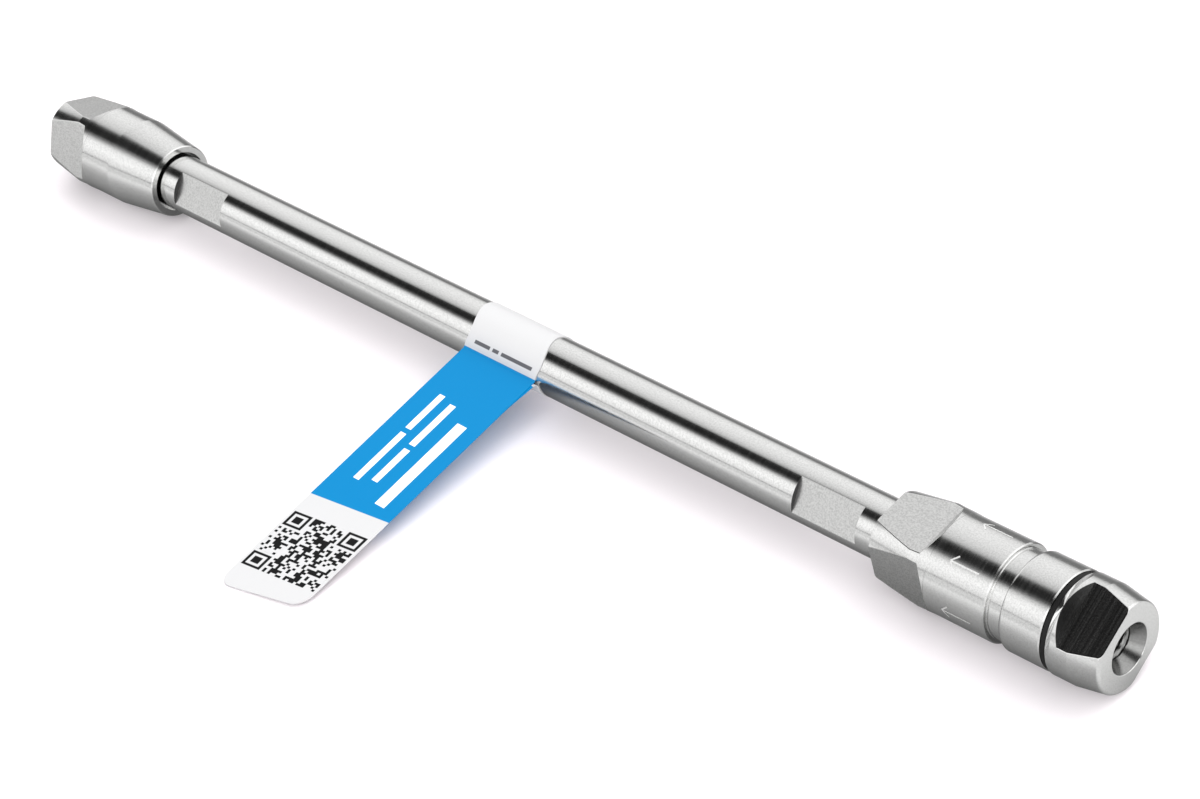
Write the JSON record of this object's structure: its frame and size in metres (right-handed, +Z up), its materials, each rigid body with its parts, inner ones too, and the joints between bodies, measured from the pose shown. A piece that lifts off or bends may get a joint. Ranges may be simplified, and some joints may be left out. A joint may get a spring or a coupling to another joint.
{
  "type": "hplc column",
  "caption": "Stainless steel liquid chromatography column with end nuts, a screw-in guard cartridge holder, threaded ports and a flag label.",
  "frame": {"origin": "on the column's axis, where the thread of the inlet port starts, below its countersink", "axes": "+X along the axis out of the inlet port, so that the flow runs towards -X; +Z up as the column lies; the label's flag points to -Y"},
  "size_m": [0.1909, 0.0532, 0.013],
  "materials": {
    "tube_steel": "fine drawn satin",
    "nut_steel": "bright turned",
    "guard_steel": "bright turned",
    "sintered_steel": "matt porous",
    "packing": "white silica powder",
    "seal_plastic": "natural",
    "ring_rubber": "matt black",
    "label_film": "satin printed film, blue and white"
  },
  "bodies": {
    "column": {"column_tube": "tube_steel", "packed_bed": "packing", "outlet_nut": "nut_steel", "outlet_frit": "sintered_steel", "outlet_frit_ring": "seal_plastic", "inlet_nut": "nut_steel", "inlet_frit": "sintered_steel", "inlet_frit_ring": "seal_plastic", "guard_body": "guard_steel", "guard_outlet_washer": "seal_plastic", "guard_outlet_frit": "sintered_steel", "guard_bed": "packing", "cartridge_tube": "guard_steel", "guard_inlet_frit": "sintered_steel", "guard_inlet_washer": "seal_plastic", "label": "label_film"},
    "sealing_ring": {"o_ring": "ring_rubber"},
    "cap": {"guard_cap": "guard_steel"}
  },
  "joints": [
    {"name": "cap_travel", "type": "slide", "parent": "column", "child": "sealing_ring", "axis": [1, 0, 0], "range_m": [0, 0.003]},
    {"name": "cap_turn", "type": "hinge", "parent": "sealing_ring", "child": "cap", "pos_m": [0, 0, 0], "axis": [1, 0, 0], "range_deg": [0, 1440]}
  ],
  "couplings": [
    {"joint": "cap_travel", "follows": "cap_turn", "m_per_rad": 0.00011936}
  ]
}
